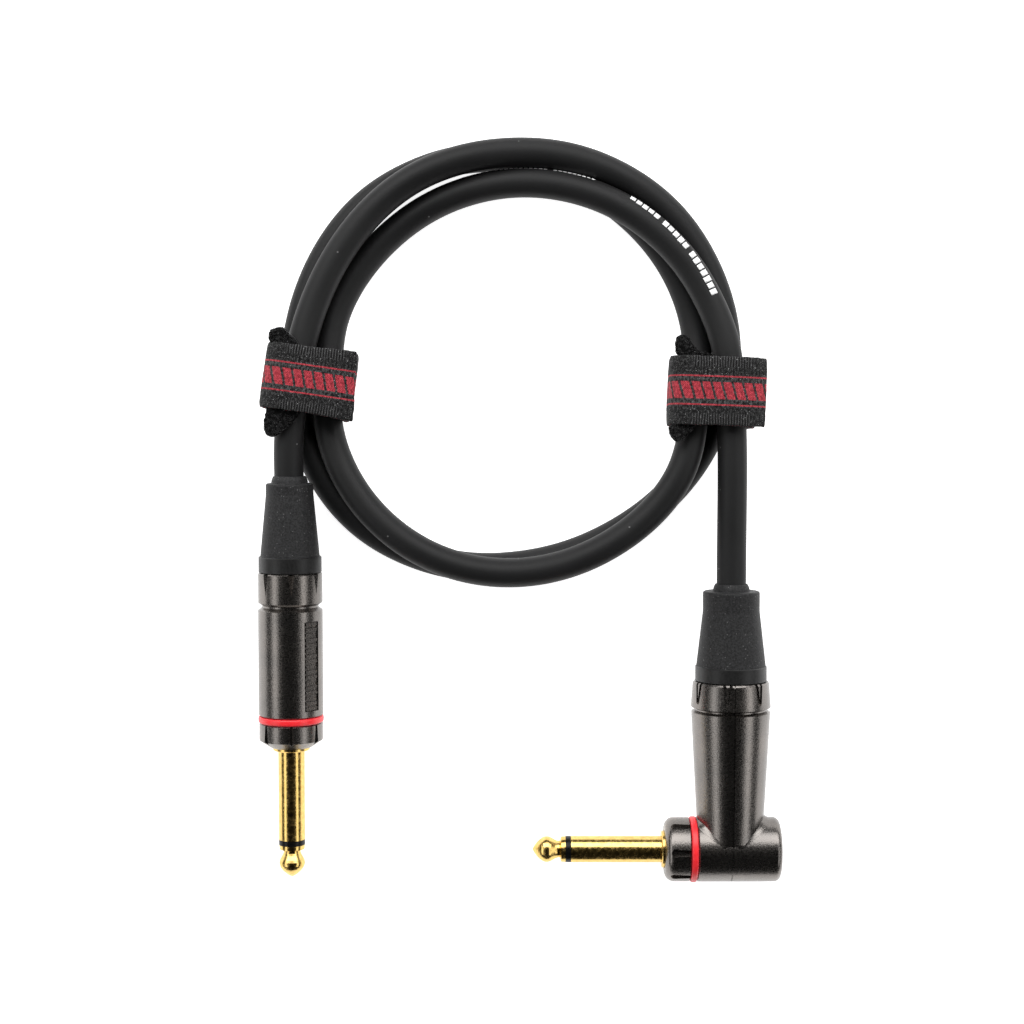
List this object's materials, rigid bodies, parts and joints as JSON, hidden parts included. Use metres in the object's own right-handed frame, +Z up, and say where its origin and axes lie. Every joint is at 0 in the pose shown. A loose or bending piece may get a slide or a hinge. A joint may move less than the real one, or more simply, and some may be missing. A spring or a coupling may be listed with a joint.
{
  "type": "instrument cable",
  "caption": "Coiled instrument cable with a straight and a right-angle jack plug, turning gland nuts with rubber boots, and two woven hook-and-loop ties.",
  "frame": {"origin": "centre of the footprint of the plugs and ties, on the table that the cable lies on", "axes": "+Z up from the table, +Y from the plugs towards the coil, +X from the straight plug towards the angled plug"},
  "size_m": [0.1248, 0.1788, 0.019],
  "materials": {
    "gold": "polished gold plating",
    "gunmetal": "satin black nickel on die-cast metal, fine grain",
    "ring_red": "satin",
    "insulator_black": "semi-gloss",
    "nut_black": "satin moulded",
    "boot_rubber": "matte, finely speckled",
    "jacket": "soft satin",
    "terminal_brass": "tinned",
    "washer_fibre": "matte",
    "liner_clear": "matte",
    "chuck_plastic": "moulded",
    "copper": "bare copper",
    "shield_tin": "tinned copper strands",
    "core_white": "smooth",
    "tie_woven": "woven, ribbed edges, red weft pattern",
    "tie_nap": "napped loop pile"
  },
  "bodies": {
    "cable": {"straight_tip": "gold", "straight_tip_insulator": "insulator_black", "straight_sleeve": "gold", "straight_collar": "gunmetal", "straight_colour_ring": "ring_red", "straight_ground_terminal": "terminal_brass", "straight_tip_terminal": "terminal_brass", "straight_terminal_washer": "washer_fibre", "straight_shield_tail": "shield_tin", "straight_conductor": "copper", "straight_core_insulation": "core_white", "angled_tip": "gold", "angled_tip_insulator": "insulator_black", "angled_sleeve": "gold", "angled_collar": "gunmetal", "angled_colour_ring": "ring_red", "angled_ground_terminal": "terminal_brass", "angled_tip_terminal": "terminal_brass", "angled_terminal_washer": "washer_fibre", "angled_shield_tail": "shield_tin", "angled_conductor": "copper", "angled_core_insulation": "core_white", "straight_shell": "gunmetal", "straight_liner": "liner_clear", "angled_front_half": "gunmetal", "angled_rear_half": "gunmetal", "straight_lead": "jacket", "angled_lead": "jacket", "cable_coil": "jacket", "left_tie_band": "tie_woven", "left_tie_head": "tie_nap", "right_tie_band": "tie_woven", "right_tie_head": "tie_nap"},
    "straight_chuck": {"straight_chuck": "chuck_plastic"},
    "straight_nut": {"straight_gland_nut": "nut_black", "straight_boot": "boot_rubber"},
    "angled_chuck": {"angled_chuck": "chuck_plastic"},
    "angled_nut": {"angled_gland_nut": "nut_black", "angled_boot": "boot_rubber"}
  },
  "joints": [
    {"name": "straight_chuck_slide", "type": "slide", "parent": "cable", "child": "straight_chuck", "axis": [0, 0.9982, 0.0599], "range_m": [0, 0.003]},
    {"name": "straight_nut_turn", "type": "hinge", "parent": "straight_chuck", "child": "straight_nut", "pos_m": [-0.0546, 0.01142, 0.0102], "axis": [0, 0.9982, 0.0599], "range_deg": [0, 1080]},
    {"name": "angled_chuck_slide", "type": "slide", "parent": "cable", "child": "angled_chuck", "axis": [0, 0.9988, 0.0499], "range_m": [0, 0.003]},
    {"name": "angled_nut_turn", "type": "hinge", "parent": "angled_chuck", "child": "angled_nut", "pos_m": [0.0506, -0.01306, 0.01005], "axis": [0, 0.9988, 0.0499], "range_deg": [0, 1080]}
  ],
  "couplings": [
    {"joint": "straight_chuck_slide", "follows": "straight_nut_turn", "m_per_rad": 0.00015915},
    {"joint": "angled_chuck_slide", "follows": "angled_nut_turn", "m_per_rad": 0.00015915}
  ]
}
